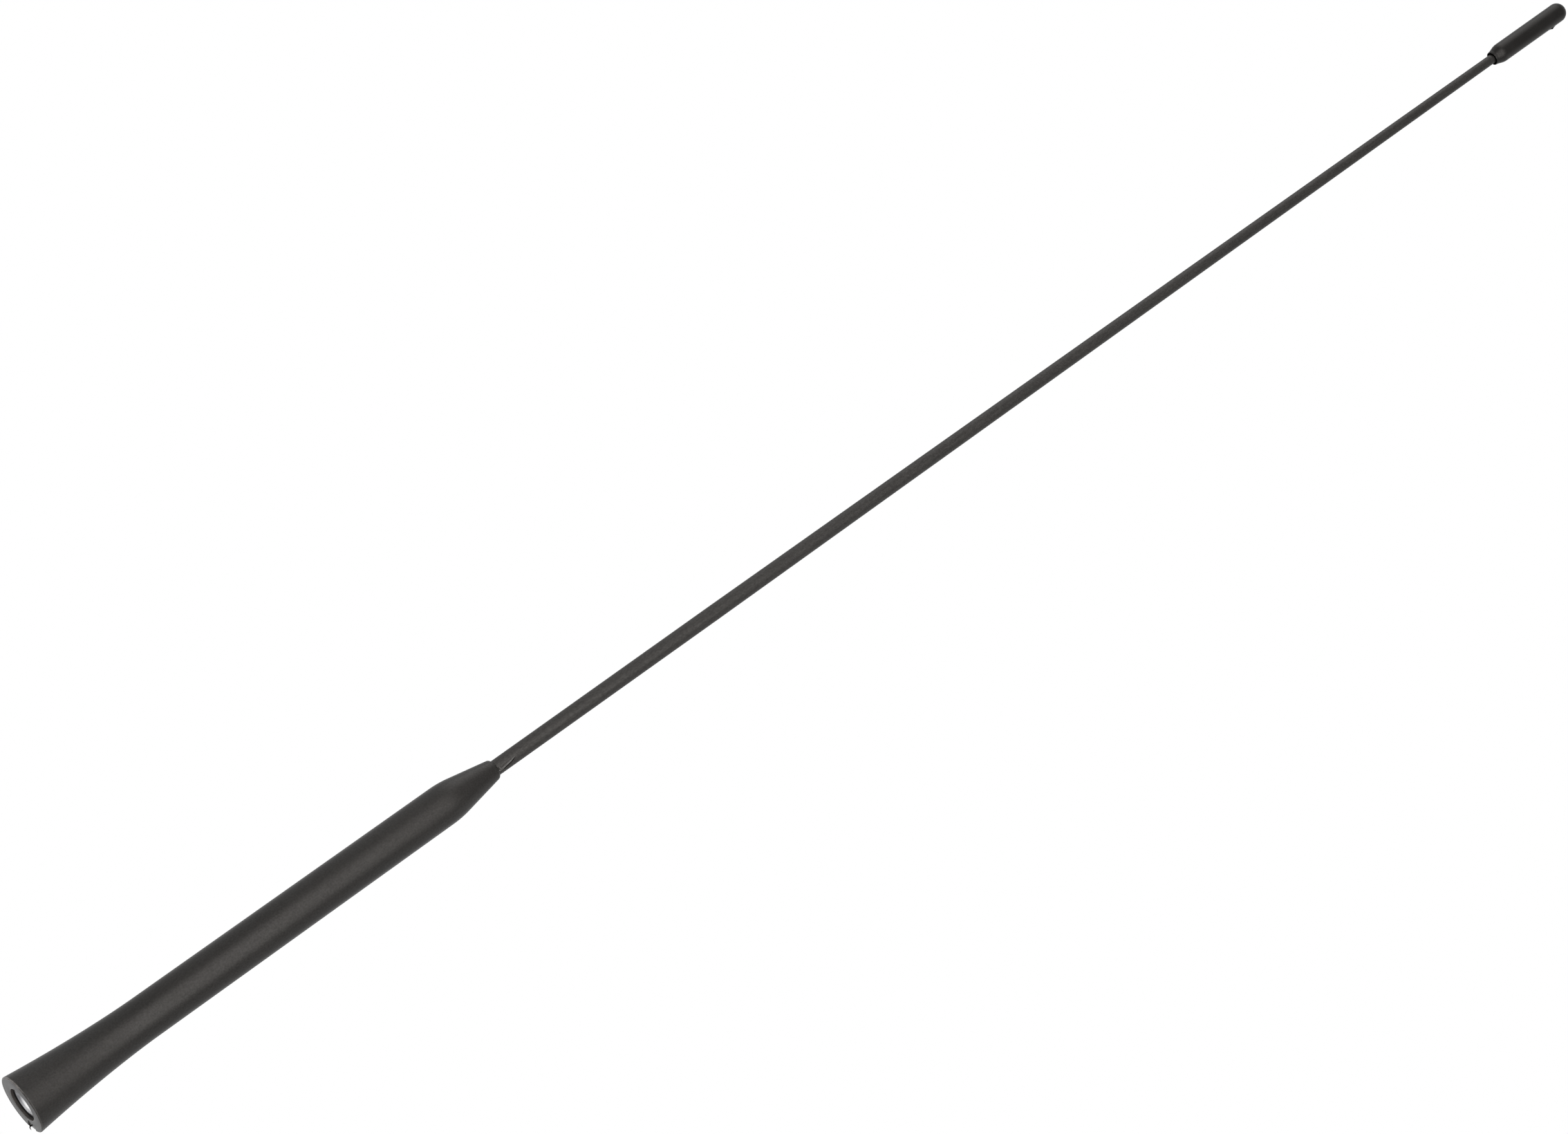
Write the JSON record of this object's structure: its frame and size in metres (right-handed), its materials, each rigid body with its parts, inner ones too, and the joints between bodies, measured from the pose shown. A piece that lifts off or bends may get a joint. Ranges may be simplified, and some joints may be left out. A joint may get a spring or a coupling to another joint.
{
  "type": "car mast aerial",
  "caption": "Slim tapered radio mast with a long flared grip, a female thread in its foot and a domed cap at its tip.",
  "frame": {"origin": "centre of the foot's end face, on the mast's axis", "axes": "+Z along the mast, from the foot to the tip; +X and +Y are across it, and the moulding gate lies between them"},
  "size_m": [0.0164, 0.0164, 0.55],
  "materials": {
    "soft_touch_plastic": "black, satin, fine moulded grain",
    "plated_metal": "bright nickel plate on turned metal",
    "glass_fibre": "pultruded glass fibre, ground to a taper",
    "copper": "bare copper wire",
    "sheath_plastic": "black, smooth, low sheen",
    "cap_plastic": "black, smooth, semi-gloss"
  },
  "bodies": {
    "root": {"base_moulding": "soft_touch_plastic", "threaded_ferrule": "plated_metal", "core_rod": "glass_fibre", "antenna_wire": "copper", "rod_sheath": "sheath_plastic", "tip_cap": "cap_plastic"}
  },
  "joints": []
}
